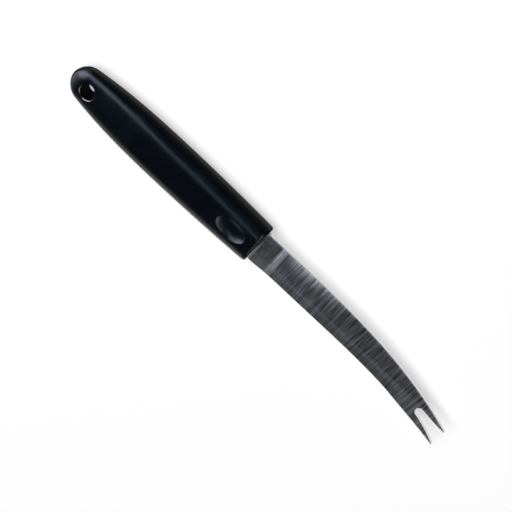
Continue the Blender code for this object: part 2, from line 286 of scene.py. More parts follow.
# Floor, and the pools of light on it that reflections see, as smooth steps across the knife
FLOOR_HALF_SIZE = 3.0
FLOOR_ROUGHNESS = 0.9
MIRRORED_FLOOR_SHARE = 0.18
BLADE_POOL = (24 * MM, 16 * MM)
LOW_POOL = (-26 * MM, -32 * MM)
LOW_POOL_STRENGTH = 0.85
HIGH_POOL_RISE = (8 * MM, 10 * MM)
HIGH_POOL_FALL = (20 * MM, 17 * MM)
HIGH_POOL_STRENGTH = 0.25

# Camera
SENSOR_WIDTH = 36
PICTURE_WIDTH = 228.6 * MM
PICTURE_MIDDLE = (115.04 * MM, -5.62 * MM, 0)


class HandleSettings(bpy.types.PropertyGroup):
    """Sizes and finish of the moulded handle that are finer than its solid."""

    hole_rim: bpy.props.FloatProperty(
        name="Hole rim",
        description="Radius of the rounded rim of the hang hole",
        default=0.45 * MM,
        min=0.2 * MM,
        max=1.0 * MM,
        unit="LENGTH",
    )
    thumb_rim: bpy.props.FloatProperty(
        name="Recess rim",
        description="Height over which the rim of the thumb recess is rounded",
        default=0.16 * MM,
        min=0.02 * MM,
        max=0.5 * MM,
        unit="LENGTH",
    )
    parting_depth: bpy.props.FloatProperty(
        name="Parting line depth",
        description="Depth of the groove that the two halves of the mould leave",
        default=0.10 * MM,
        min=0.0,
        max=0.3 * MM,
        unit="LENGTH",
    )
    parting_half_width: bpy.props.FloatProperty(
        name="Parting line half width",
        description="Half the width of the groove that the two halves of the mould leave",
        default=0.04 * MM,
        min=0.01 * MM,
        max=0.04 * MM,
        unit="LENGTH",
    )
    # Colour of the highlights painted on the hang hole's rim and of the pale lip at the front
    highlight_and_lip_colour: bpy.props.FloatVectorProperty(
        name="Highlight and lip",
        description="Colour of the highlights painted on the hang hole's rim and of the pale lip at the front",
        subtype="COLOR",
        size=3,
        min=0.0,
        max=1.0,
        default=(0.5, 0.5, 0.47),
    )
    colour: bpy.props.FloatVectorProperty(
        name="Plastic",
        description="Colour of the moulded plastic",
        subtype="COLOR",
        size=3,
        min=0.0,
        max=1.0,
        default=(0.0003, 0.0012, 0.0022),
    )
    roughness: bpy.props.FloatProperty(
        name="Roughness",
        description="Roughness of the moulded plastic",
        subtype="FACTOR",
        default=0.22,
        min=0.0,
        max=1.0,
    )


class BladeSettings(bpy.types.PropertyGroup):
    """Sizes and finish of the ground blade that are finer than its solid."""

    edge_rounding: bpy.props.FloatProperty(
        name="Edge rounding",
        description="Radius of the rounded long edges of the spine",
        default=0.36 * MM,
        min=0.02 * MM,
        max=0.6 * MM,
        unit="LENGTH",
    )
    colour: bpy.props.FloatVectorProperty(
        name="Steel",
        description="Colour of the stainless steel",
        subtype="COLOR",
        size=3,
        min=0.0,
        max=1.0,
        default=(0.54, 0.52, 0.535),
    )
    spine_colour: bpy.props.FloatVectorProperty(
        name="Spine",
        description="Colour of the plain steel of the spine",
        subtype="COLOR",
        size=3,
        min=0.0,
        max=1.0,
        default=(0.66, 0.65, 0.63),
    )
    streaks: bpy.props.FloatProperty(
        name="Streaks",
        description="Contrast of the grinding marks across the blade",
        subtype="FACTOR",
        default=0.88,
        min=0.0,
        max=1.0,
    )
    rubbed: bpy.props.FloatProperty(
        name="Rubbed",
        description="Roughness that the belt adds where it first touches and along the spine",
        subtype="FACTOR",
        default=0.3,
        min=0.0,
        max=1.0,
    )
    lean: bpy.props.FloatProperty(
        name="Lean",
        description="How far the marks lean over where the blade curves",
        default=0.05,
        min=-1.0,
        max=1.0,
    )


class StageSettings(bpy.types.PropertyGroup):
    """The floor, the lights and the camera."""

    floor_colour: bpy.props.FloatVectorProperty(
        name="Floor",
        description="Colour of the floor",
        subtype="COLOR",
        size=3,
        min=0.0,
        max=1.0,
        default=(0.52, 0.52, 0.52),
    )
    floor_glow: bpy.props.FloatProperty(
        name="Floor glow",
        description="White that the floor adds to what the camera and reflections see of it",
        subtype="FACTOR",
        default=0.47,
        min=0.0,
        max=1.0,
    )
    fill_power: bpy.props.FloatProperty(
        name="Fill light",
        description="Power of the wide, soft light overhead",
        subtype="POWER",
        default=185.0,
        min=0.0,
    )
    studio_strength: bpy.props.FloatProperty(
        name="Studio light",
        description="Strength of the large soft lights that stand round the knife",
        default=1.0,
        min=0.0,
    )
    camera_distance: bpy.props.FloatProperty(
        name="Camera distance",
        description="Distance of the camera from the middle of the knife",
        default=0.95,
        min=0.3,
        unit="LENGTH",
    )
    camera_height: bpy.props.FloatProperty(
        name="Camera height",
        description="Angle of the camera above the floor",
        default=math.radians(55),
        min=0.0,
        max=math.radians(90),
        subtype="ANGLE",
    )
    camera_turn: bpy.props.FloatProperty(
        name="Camera turn",
        description="Angle at which the knife runs down across the picture",
        default=math.radians(43),
        subtype="ANGLE",
    )


def blend(start, end, share):
    """The value at a share of the way from start to end."""
    return start + (end - start) * share


def ease(share):
    """A smooth step from 0 to 1."""
    share = min(max(share, 0.0), 1.0)
    return share * share * (3 - 2 * share)


def round_end(distance, length):
    """The height, from 0 to 1, of a quarter ellipse at a distance from its tip."""
    left = max(length - distance, 0.0) / length
    return math.sqrt(max(1 - left * left, 0.0))


def spaced(start, end, step):
    """Even places from start up to, but not including, end."""
    count = max(1, math.ceil((end - start) / step))
    return [blend(start, end, index / count) for index in range(count)]


def packed(point):
    """A point in the knife's own lengths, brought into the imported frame."""
    x, y, z = point
    return Vector((x + BUTT_X, y + AXIS_Y, z + MIDDLE_Z))


def tube(rings, sides):
    """A tube of radius 1, spun from a line of points on the whole numbers along X."""
    bm = bmesh.new()
    points = [bm.verts.new((ring, 1, 0)) for ring in range(rings)]
    edges = [bm.edges.new(pair) for pair in zip(points, points[1:])]
    bmesh.ops.spin(
        bm,
        geom=points + edges,
        cent=(0, 0, 0),
        axis=(1, 0, 0),
        angle=2 * math.pi,
        steps=sides,
        use_merge=True,
    )
    return bm


def shape_tube(bm, sides, place):
    """Moves each point of a tube to place(ring, side)."""
    for vert in bm.verts:
        turn = math.atan2(vert.co.z, vert.co.y) / (2 * math.pi)
        vert.co = place(round(vert.co.x), round(turn * sides) % sides)


def loop_at(bm, test):
    """The boundary edges whose two ends pass a test."""
    return [e for e in bm.edges if e.is_boundary and all(test(v.co) for v in e.verts)]


def draw_loop(bm, edges, place):
    """Draws a loop of edges out into a new band, whose far points move to place(point)."""
    drawn = bmesh.ops.extrude_edge_only(bm, edges=edges)["geom"]
    for vert in (item for item in drawn if isinstance(item, bmesh.types.BMVert)):
        vert.co = place(vert.co.copy())
    return [item for item in drawn if isinstance(item, bmesh.types.BMEdge)]


def close(bm):
    """Merges doubles, fills what is left open and turns the faces outwards."""
    bmesh.ops.remove_doubles(bm, verts=bm.verts, dist=MERGE_DISTANCE)
    bmesh.ops.dissolve_degenerate(bm, edges=bm.edges, dist=MERGE_DISTANCE)
    bmesh.ops.holes_fill(bm, edges=[edge for edge in bm.edges if edge.is_boundary], sides=0)
    bmesh.ops.recalc_face_normals(bm, faces=bm.faces)


def finish_piece(name, bm, materials, node, sharp_angle):
    """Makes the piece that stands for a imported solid."""
    for vert in bm.verts:
        vert.co = packed(vert.co)
    mesh = bpy.data.meshes.new(name)
    bm.to_mesh(mesh)
    bm.free()
    for material in materials:
        mesh.materials.append(material)
    mesh.shade_smooth()
    mesh.set_sharp_from_angle(angle=sharp_angle)
    piece = bpy.data.objects.new(name, mesh)
    bpy.context.scene.collection.objects.link(piece)
    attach(piece, "root")
    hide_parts(node)


def front_drop(x):
    """How far the upper and lower skins draw in at the front of the handle."""
    share = max(x - (HANDLE_LENGTH - FRONT_FILLET), 0.0) / FRONT_FILLET
    left = max(1 - share**FRONT_FILLET_POWER, 0.0) ** (1 / FRONT_FILLET_POWER)
    return FRONT_FILLET_DROP * (1 - left)


def front_inset(x):
    """How far the sides of the handle draw in at its front corners."""
    along = max(x - (HANDLE_LENGTH - FRONT_CORNER), 0.0)
    return FRONT_CORNER - math.sqrt(max(FRONT_CORNER**2 - along**2, 0.0))


def half_width(x):
    """Half the width of the handle, which is widest in front of its middle and rounded at the butt."""
    if x < WIDEST_FROM_BUTT:
        share = ((WIDEST_FROM_BUTT - x) / WIDEST_FROM_BUTT) ** SIDE_POWER
        side = blend(HANDLE_WIDTH, BUTT_WIDTH, share) / 2
    else:
        share = ((x - WIDEST_FROM_BUTT) / (HANDLE_LENGTH - WIDEST_FROM_BUTT)) ** TAPER_POWER
        side = blend(HANDLE_WIDTH, FRONT_WIDTH, share) / 2
    return side * round_end(x, BUTT_ROUNDING_LENGTH) - front_inset(x)


def crown(x, side):
    """How far the skin stands off the middle plane on the long axis: upper (1) or lower (-1)."""
    butt = BUTT_TOP_HEIGHT if side > 0 else BUTT_UNDERSIDE_HEIGHT
    rounding = BUTT_TOP_ROUNDING if side > 0 else BUTT_UNDERSIDE_ROUNDING
    left = max(FULL_THICKNESS_FROM_BUTT - x, 0.0) / FULL_THICKNESS_FROM_BUTT
    height = blend(HANDLE_THICKNESS / 2, butt, left**TAPER_POWER)
    return height * round_end(x, rounding) - front_drop(x)


def skin_height(x, y, side):
    """How far the upper (1) or lower (-1) skin stands off the middle plane."""
    across = min(abs(y) / max(half_width(x), MERGE_DISTANCE), 1.0)
    return crown(x, side) * (1 - across**SECTION_POWER) ** (1 / SECTION_POWER)


def section_point(x, angle):
    """A point of the handle's rounded cross-section, at an angle from the spine side."""
    across = math.copysign(abs(math.cos(angle)) ** (2 / SECTION_POWER), math.cos(angle))
    up = math.copysign(abs(math.sin(angle)) ** (2 / SECTION_POWER), math.sin(angle))
    return Vector((x, half_width(x) * across, crown(x, up) * up))


def handle_stations():
    """Places along the handle, close together where the butt and the front curve away."""
    quarter = [math.sin(math.pi / 2 * step / ROUND_STEPS) for step in range(ROUND_STEPS + 1)]
    places = {BUTT_ROUNDING_LENGTH * (1 - share) for share in quarter}
    places |= {BUTT_TOP_ROUNDING * (1 - share) for share in quarter}
    places |= {BUTT_UNDERSIDE_ROUNDING * (1 - share) for share in quarter}
    places |= {HANDLE_LENGTH - FRONT_FILLET * (1 - share) for share in quarter}
    places |= set(spaced(BUTT_ROUNDING_LENGTH, HANDLE_LENGTH - FRONT_FILLET, HANDLE_STEP))
    return sorted(places)


def cut_window(bm, centre, half_x, half_y, side):
    """Opens the skin in a block round a point of the upper (1) or lower (-1) side."""
    inside = []
    for face in bm.faces:
        middle = face.calc_center_median()
        near_x = abs(middle.x - centre) < half_x
        near_y = abs(middle.y) < half_y
        if near_x and near_y and middle.z * side > 0:
            inside.append(face)
    bmesh.ops.delete(bm, geom=inside, context="FACES")
    return [
        edge
        for edge in bm.edges
        if edge.is_boundary
        and all(abs(v.co.x - centre) < 2 * half_x and v.co.z * side > 0 for v in edge.verts)
    ]


def rounded_window(bm, window, centre, radii, height):
    """Bridges an open block of the skin to an oval loop and returns the loop's edges."""
    count = len(window)
    made = bmesh.ops.create_circle(bm, cap_ends=False, segments=count, radius=1)["verts"]
    for vert in made:
        x, y = centre + vert.co.x * radii[0], vert.co.y * radii[1]
        vert.co = Vector((x, y, height(x, y)))
    ring = list(dict.fromkeys(edge for vert in made for edge in vert.link_edges))
    bridged = bmesh.ops.bridge_loops(bm, edges=window + ring)
    rim_ends, window_ends = set(made), {v for edge in window for v in edge.verts}
    spokes = [
        edge
        for edge in bridged["edges"]
        if len(rim_ends & set(edge.verts)) == 1 and len(window_ends & set(edge.verts)) == 1
    ]
    split = bmesh.ops.subdivide_edges(bm, edges=spokes, cuts=WINDOW_RINGS, use_grid_fill=True)
    for vert in (item for item in split["geom_inner"] if isinstance(item, bmesh.types.BMVert)):
        vert.co.z = height(vert.co.x, vert.co.y)
    return [edge for edge in ring if edge.is_valid]


def hang_hole(bm, rim_radius):
    """Opens both skins and joins them by a round hole with rounded rims."""
    walls = []
    outer = HOLE_RADIUS + rim_radius
    block = outer + HOLE_WINDOW_MARGIN
    for side in (1, -1):

        def skin(x, y):
            return side * skin_height(x, y, side)

        window = cut_window(bm, HOLE_FROM_BUTT, block, block, side)
        loop = rounded_window(bm, window, HOLE_FROM_BUTT, (outer, outer), skin)
        for step in range(1, ROUND_STEPS + 1):
            angle = HOLE_RIM_SWEEP * (1 - step / ROUND_STEPS)
            out = (1 - math.cos(angle)) / (1 - math.cos(HOLE_RIM_SWEEP))
            radius = HOLE_RADIUS + rim_radius * out
            drop = rim_radius * (math.sin(HOLE_RIM_SWEEP) - math.sin(angle))

            def sink(point):
                spoke = Vector((point.x - HOLE_FROM_BUTT, point.y)).normalized()
                x, y = HOLE_FROM_BUTT + spoke.x * radius, spoke.y * radius
                far_x, far_y = HOLE_FROM_BUTT + spoke.x * outer, spoke.y * outer
                return Vector((x, y, side * (skin_height(far_x, far_y, side) - drop)))

            loop = draw_loop(bm, loop, sink)
        walls += loop
    bmesh.ops.bridge_loops(bm, edges=walls)


def thumb_height(x, y, rim):
    """The upper skin with the oval bowl of the thumb recess sunk into it, blended over the rim."""
    centre = HANDLE_LENGTH - THUMB_FROM_FRONT
    skin = skin_height(x, y, 1)
    peak = skin_height(centre, 0, 1)

    def reach(half, far_x, far_y):
        rise = THUMB_DEPTH - (peak - skin_height(far_x, far_y, 1))
        return half / math.sqrt(1 - (1 - rise / THUMB_BOWL_HEIGHT) ** 2)

    length = reach(THUMB_LENGTH / 2, centre + THUMB_LENGTH / 2, 0)
    width = reach(THUMB_WIDTH / 2, centre, THUMB_WIDTH / 2)
    out = ((x - centre) / length) ** 2 + (y / width) ** 2
    if out >= 1:
        return skin
    bowl = peak - THUMB_DEPTH + THUMB_BOWL_HEIGHT * (1 - math.sqrt(1 - out))
    near = max(rim - abs(skin - bowl), 0.0) / rim
    return min(skin, bowl) - near * near * rim / 4


def thumb_recess(bm, rim):
    """Replaces a block of the skin by rings that follow the oval rim of the recess."""
    centre = HANDLE_LENGTH - THUMB_FROM_FRONT

    def height(x, y):
        return thumb_height(x, y, rim)

    radii = [THUMB_OUTER_RING * size / 2 for size in (THUMB_LENGTH, THUMB_WIDTH)]
    reach = [radius + margin for radius, margin in zip(radii, THUMB_WINDOW_MARGINS)]
    window = cut_window(bm, centre, *reach, 1)
    loop = rounded_window(bm, window, centre, radii, height)
    last = THUMB_OUTER_RING
    for scale in THUMB_RINGS:

        def sink(point):
            x = centre + (point.x - centre) * scale / last
            y = point.y * scale / last
            return Vector((x, y, height(x, y)))

        loop = draw_loop(bm, loop, sink)
        last = scale


def socket(bm):
    """Closes the front with a flat face round the mouth of the tang's socket."""
    rim = loop_at(bm, lambda point: point.x > HANDLE_LENGTH - MERGE_DISTANCE)
    half_y = TANG_WIDTH / 2 + SOCKET_CLEARANCE
    half_z = TANG_THICKNESS / 2 + SOCKET_CLEARANCE

    def to_mouth(point):
        reach = max(abs(point.y) / half_y, abs(point.z) / half_z)
        return Vector((point.x, point.y / reach, point.z / reach))

    mouth = draw_loop(bm, rim, to_mouth)
    depth = HANDLE_LENGTH - HEEL_X + TANG_LENGTH + SOCKET_CLEARANCE
    draw_loop(bm, mouth, lambda point: point - Vector((depth, 0, 0)))


def parting_line(bm, depth, half_groove):
    """Presses the fine groove of the mould's parting line into the skin, along the handle's middle."""

    def on_line(point):
        on_side = abs(abs(point.y) - half_width(point.x)) < MERGE_DISTANCE
        return on_side and abs(point.z) < MERGE_DISTANCE and point.x < PARTING_LINE_END

    seam = [edge for edge in bm.edges if all(on_line(v.co) for v in edge.verts)]
    ends = list(dict.fromkeys(v for edge in seam for v in edge.verts))
    made = bmesh.ops.bevel(
        bm,
        geom=seam + ends,
        offset=half_groove,
        offset_type="OFFSET",
        segments=GROOVE_STEPS,
        profile=0.5,
        affect="EDGES",
        material=-1,
        clamp_overlap=True,
    )
    for vert in made["verts"]:
        in_middle = abs(vert.co.z) < half_groove * (1 - 1 / GROOVE_STEPS)
        if in_middle and abs(vert.co.y) > MERGE_DISTANCE:
            vert.co.y -= math.copysign(depth, vert.co.y)


def handle_mesh(settings):
    """The moulded handle, from its plain skin to the last groove."""
    stations = handle_stations()
    bm = tube(len(stations), HANDLE_SIDES)

    def place(ring, side):
        point = section_point(stations[ring], 2 * math.pi * side / HANDLE_SIDES)
        point.z = max(point.z, -RESTING_FLAT)
        return point

    shape_tube(bm, HANDLE_SIDES, place)
    bmesh.ops.remove_doubles(bm, verts=bm.verts, dist=MERGE_DISTANCE)
    socket(bm)
    hang_hole(bm, settings.hole_rim)
    thumb_recess(bm, settings.thumb_rim)
    parting_line(bm, settings.parting_depth, settings.parting_half_width)
    close(bm)
    return bm


def spine_y(x):
    """The blade's straight back, which then curls over towards the fork."""
    start = HEEL_X + SPINE_CURVE_FROM_HEEL
    share = max(x - start, 0.0) / (TIP_X - start)
    return BLADE_WIDTH / 2 - BLADE_SIDE_SHIFT - SPINE_DROP * share**SPINE_CURVE_POWER


def edge_y(x):
    """The cutting edge: straight from the heel, then one long arc."""
    start = HEEL_X + EDGE_CURVE_FROM_HEEL
    share = max(x - start, 0.0) / (TIP_X - start)
    return -BLADE_WIDTH / 2 - BLADE_SIDE_SHIFT - EDGE_DROP * share**EDGE_CURVE_POWER


def half_section(x, rounding):
    """The upper half of a cross-section, from the middle of the spine to the middle of the edge."""
    spine = blend(SPINE_THICKNESS, TIP_THICKNESS, (x - HEEL_X) / BLADE_LENGTH) / 2
    bevel_start = HEEL_X + BEVEL_START_FROM_HEEL
    bevel_end = TIP_X - BEVEL_END_FROM_TIP
    fade = 1 - ease((x - bevel_end + BEVEL_FADE_LENGTH) / BEVEL_FADE_LENGTH)
    bevel = ease((x - bevel_start) / PLUNGE_LENGTH) * fade
    ground = ease((x - bevel_start) / FACE_GRIND_LENGTH) * fade
    edge = blend(spine, EDGE_THICKNESS / 2, bevel)
    shoulder = blend(spine, SHOULDER_THICKNESS / 2, ground)
    back, front = spine_y(x), edge_y(x)
    points = [(back, 0.0)]
    for step in range(CORNER_STEPS + 1):
        angle = math.pi / 2 * step / CORNER_STEPS
        y = back - rounding + rounding * math.cos(angle)
        points.append((y, spine - rounding + rounding * math.sin(angle)))
    top = back - rounding
    bend = front + BEVEL_WIDTH
    for column in range(1, FACE_COLUMNS + 1):
        share = column / FACE_COLUMNS
        points.append((blend(top, bend, share), blend(spine, shoulder, share)))
    land = min(rounding, edge / 2, EDGE_LAND)
    for column in range(1, BEVEL_COLUMNS + 1):
        share = column / BEVEL_COLUMNS
        points.append((blend(bend, front + land, share), blend(shoulder, edge, share)))
    points.append((front, edge - land))
    points.append((front, 0.0))
    return points


def blade_stations():
    """Places along the blade, close together where the shoulder's edge is rounded."""
    quarter = [math.sin(math.pi / 2 * step / SHOULDER_STEPS) for step in range(SHOULDER_STEPS + 1)]
    places = {HEEL_X + SHOULDER_ROUNDING * (1 - share) for share in quarter}
    places |= set(spaced(HEEL_X + SHOULDER_ROUNDING, TIP_X, BLADE_STEP)) | {TIP_X}
    return sorted(places)


def heel_inset(x):
    """How far the section draws in at the rounded edge of the blade's shoulder."""
    return SHOULDER_ROUNDING * (1 - round_end(x - HEEL_X, SHOULDER_ROUNDING))


def blade_mesh(settings):
    """The blade with its tang, before the fork is cut."""
    stations = blade_stations()
    halves = [half_section(x, settings.edge_rounding) for x in stations]
    sides = 2 * (len(halves[0]) - 1)
    bm = tube(len(stations), sides)

    def place(ring, side):
        x = stations[ring]
        upper = side <= sides // 2
        y, z = halves[ring][side if upper else sides - side]
        draw = heel_inset(x)
        y = y - draw if y > 0 else y + draw
        z = max(z - draw, 0.0)
        return Vector((x, y, z if upper else -z))

    shape_tube(bm, sides, place)
    heel = loop_at(bm, lambda point: point.x < HEEL_X + MERGE_DISTANCE)

    def to_tang(point):
        reach = max(abs(point.y) / (TANG_WIDTH / 2), abs(point.z) / (TANG_THICKNESS / 2))
        return Vector((point.x, point.y / reach, point.z / reach))

    root = draw_loop(bm, heel, to_tang)
    shaft = TANG_LENGTH - TANG_NOSE_LENGTH
    nose = draw_loop(bm, root, lambda point: point - Vector((shaft, 0, 0)))
    nose_angle = math.pi / 2 * TANG_NOSE_SHARE
    for step in range(NOSE_STEPS):
        before, after = (nose_angle * turn / NOSE_STEPS for turn in (step, step + 1))
        narrow = math.cos(after) / math.cos(before)
        along = TANG_NOSE_LENGTH * (math.sin(after) - math.sin(before)) / math.sin(nose_angle)
        nose = draw_loop(bm, nose, lambda p: Vector((p.x - along, p.y * narrow, p.z)))
    close(bm)
    return bm


def bowed(start, end, bow):
    """Points on the way from start to end, on a line that bows out to its left by bow."""
    away = end - start
    left = Vector((-away.y, away.x)).normalized()
    shares = [step / BOW_STEPS for step in range(1, BOW_STEPS)]
    return [start + away * share + left * bow * 4 * share * (1 - share) for share in shares]


def fork_mesh():
    """The slot between the prongs, whose inner sides bow a little into it."""
    root_x = TIP_X - FORK_DEPTH + FORK_ROOT_RADIUS
    root = Vector((root_x, (spine_y(root_x) + edge_y(root_x)) / 2))
    upper_tip = Vector((TIP_X, spine_y(TIP_X) - TIP_WIDTH))
    lower_tip = Vector((TIP_X, edge_y(TIP_X) + TIP_WIDTH))

    def tangent(tip, side):
        """The angle at which the side that ends at this tip touches the round root."""
        away = tip - root
        return math.atan2(away.y, away.x) + side * math.acos(FORK_ROOT_RADIUS / away.length)

    first = tangent(upper_tip, 1)
    last = tangent(lower_tip, -1) + 2 * math.pi
    bm = bmesh.new()
    outline = []
    for step in range(FORK_ROOT_STEPS + 1):
        angle = blend(first, last, step / FORK_ROOT_STEPS)
        spoke = Vector((math.cos(angle), math.sin(angle)))
        outline.append(root + FORK_ROOT_RADIUS * spoke)
    beyond = Vector((CUT_OVERRUN, 0))
    outline += bowed(outline[-1], lower_tip, LOWER_PRONG_BOW)
    outline += [lower_tip, lower_tip + beyond, upper_tip + beyond, upper_tip]
    outline += bowed(upper_tip, outline[0], UPPER_PRONG_BOW)
    face = bm.faces.new([bm.verts.new((x, y, -SPINE_THICKNESS)) for x, y in outline])
    drawn = bmesh.ops.extrude_face_region(bm, geom=[face])
    lifted = [item for item in drawn["geom"] if isinstance(item, bmesh.types.BMVert)]
    bmesh.ops.translate(bm, verts=lifted, vec=(0, 0, 2 * SPINE_THICKNESS))
    bmesh.ops.recalc_face_normals(bm, faces=bm.faces)
    return bm


def cut_from(bm, cutter_bm):
    """Cuts one closed mesh from another and returns the result."""
    objects = []
    for name, source in (("cut_body", bm), ("cut_tool", cutter_bm)):
        mesh = bpy.data.meshes.new(name)
        source.to_mesh(mesh)
        source.free()
        obj = bpy.data.objects.new(name, mesh)
        bpy.context.scene.collection.objects.link(obj)
        objects.append(obj)
    body, tool = objects
    boolean = body.modifiers.new("cut", "BOOLEAN")
    boolean.operation = "DIFFERENCE"
    boolean.solver = "EXACT"
    boolean.object = tool
    bpy.context.view_layer.update()
    graph = bpy.context.evaluated_depsgraph_get()
    result = bmesh.new()
    result.from_object(body, graph)
    for obj in objects:
        mesh = obj.data
        bpy.data.objects.remove(obj)
        bpy.data.meshes.remove(mesh)
    return result


class Nodes:
    """The nodes of a material or of the world, which are added and joined by name."""

    def __init__(self, tree):
        self.tree = tree

    def add(self, kind, inputs=None, **settings):
        """Adds a node with its settings, and joins or sets its inputs."""
        node = self.tree.nodes.new(kind)
        for key, value in settings.items():
            setattr(node, key, value)
        for key, value in (inputs or {}).items():
            self.feed(node, key, value)
        return node

    def feed(self, node, key, value):
        """Joins an output to an input, or sets the input to a constant."""
        if isinstance(value, bpy.types.NodeSocket):
            self.tree.links.new(value, node.inputs[key])
        else:
            node.inputs[key].default_value = value

    def maths(self, operation, first, second=0.0):
        """A sum on one or two values, given by the name of its operation."""
        return self.add("ShaderNodeMath", {0: first, 1: second}, operation=operation).outputs[0]

    def plus(self, first, second):
        return self.maths("ADD", first, second)

    def less(self, first, second):
        return self.maths("SUBTRACT", first, second)

    def times(self, first, second):
        return self.maths("MULTIPLY", first, second)

    def ramp(self, value, low, high, to_low=0.0, to_high=1.0):
        """A straight ramp from to_low at low to to_high at high."""
        inputs = {"Value": value, "From Min": low, "From Max": high}
        inputs |= {"To Min": to_low, "To Max": to_high}
        return self.add("ShaderNodeMapRange", inputs).outputs["Result"]

    def step(self, value, start, end):
        """A smooth step from 0 at start to 1 at end."""
        inputs = {"Value": value, "From Min": min(start, end), "From Max": max(start, end)}
        inputs |= {"To Min": float(start > end), "To Max": float(start < end)}
        return self.add("ShaderNodeMapRange", inputs, interpolation_type="SMOOTHSTEP").outputs["Result"]

    def band(self, value, low, high, soft):
        """1 between low and high, fading out softly on both sides."""
        rise = self.step(value, low - soft, low + soft)
        fall = self.step(value, high + soft, high - soft)
        return self.times(rise, fall)

    def mix(self, share, first, second):
        """A colour between two colours."""
        inputs = {0: share, 6: first, 7: second}
        return self.add("ShaderNodeMix", inputs, data_type="RGBA").outputs[2]

    def mix_value(self, share, first, second):
        """A number between two numbers."""
        return self.add("ShaderNodeMix", {0: share, 2: first, 3: second}).outputs[0]


class Shader(Nodes):
    """The nodes of a new material."""

    def __init__(self, name):
        self.material = bpy.data.materials.new(name)
        self.material.use_nodes = True
        super().__init__(self.material.node_tree)
        self.surface = self.tree.nodes["Principled BSDF"]

    def finish(self, **values):
        """Sets or joins inputs of the surface, whose names have _ for each space."""
        for name, value in values.items():
            self.feed(self.surface, name.replace("_", " "), value)

    def place(self):
        """Object coordinates, brought into the knife's own lengths."""
        packed_place = self.add("ShaderNodeTexCoord").outputs["Object"]
        shift = (-BUTT_X, -AXIS_Y, -MIDDLE_Z)
        inputs = {"Vector": packed_place, "Location": shift}
        return self.add("ShaderNodeMapping", inputs).outputs["Vector"]

    def parts(self, place):
        """The x, y and z of a place."""
        return self.add("ShaderNodeSeparateXYZ", {0: place}).outputs

    def noise(self, place, scale, detail, roughness):
        """Noise at a place that is first stretched by scale."""
        stretched = self.add("ShaderNodeMapping", {"Vector": place, "Scale": scale}).outputs["Vector"]
        inputs = {"Vector": stretched, "Scale": 1.0, "Detail": detail, "Roughness": roughness}
        return self.add("ShaderNodeTexNoise", inputs).outputs["Fac"]

    def bump(self, height, distance, strength):
        inputs = {"Height": height, "Distance": distance, "Strength": strength}
        return self.add("ShaderNodeBump", inputs).outputs["Normal"]


def plastic_material(settings):
    """Satin black plastic, with highlights painted pale on the hang hole's rim and a pale lip at the
    front.
    """
    shader = Shader("satin_black_plastic")
    place = shader.place()
    x, y, z = shader.parts(place)

    def even_noise(per_metre, detail, roughness):
        return shader.noise(place, [per_metre] * 3, detail, roughness)

    grain, cloud = even_noise(*GRAIN), even_noise(*CLOUDS)
    smooth, coarse = (settings.roughness + spread for spread in ROUGHNESS_SPREAD)
    dark = (*settings.colour, 1)
    light = (*[min(1, CLOUD_LIGHTENING * part) for part in settings.colour], 1)
    plastic = shader.mix(shader.ramp(cloud, *CLOUDS_LIGHTEN), dark, light)
    from_front = shader.less(HANDLE_LENGTH, x)
    # Dull line painted as the shade of the seam between handle and blade
    dull = shader.band(from_front, *SEAM_SHADE_LINE)
    lip = shader.times(shader.step(from_front, *PALE_LIP), shader.step(y, *PALE_LIP_SIDE))
    # Pale where highlights are painted on the hole's rim, and on the lip at the front
    pale = shader.maths("MAXIMUM", painted_rim_highlights(shader, x, y, z), lip)
    shader.finish(
        Base_Color=shader.mix(pale, plastic, (*settings.highlight_and_lip_colour, 1)),
        Specular_IOR_Level=shader.ramp(dull, 0.0, 1.0, PLAIN_SHINE, DULL_SHINE),
        Roughness=shader.ramp(cloud, *CLOUDS_DULL, smooth, coarse),
        Normal=shader.bump(grain, *PLASTIC_BUMP),
    )
    return shader.material


def painted_rim_highlights(shader, x, y, z):
    """1 where highlights are painted pale on the top rim of the hang hole, and 0 elsewhere."""
    out = shader.less(x, HOLE_FROM_BUTT)
    squares = shader.plus(shader.maths("POWER", out, 2.0), shader.maths("POWER", y, 2.0))
    radius = shader.maths("SQRT", squares)
    ring = shader.band(shader.less(radius, HOLE_RADIUS), *RIM_HIGHLIGHT_RING)
    ring = shader.times(ring, shader.maths("GREATER_THAN", z, 0.0))
    # Sum of the arcs of the ring where the highlights are painted
    rubbed = 0.0
    for turn, spread, share in RIM_HIGHLIGHT_ARCS:
        along = shader.times(out, math.cos(math.radians(turn)))
        aside = shader.times(y, math.sin(math.radians(turn)))
        facing = shader.maths("DIVIDE", shader.plus(along, aside), radius)
        faint, full = (math.cos(math.radians(reach * spread)) for reach in ARC_FADE)
        rubbed = shader.plus(rubbed, shader.times(shader.step(facing, faint, full), share))
    return shader.times(ring, rubbed)


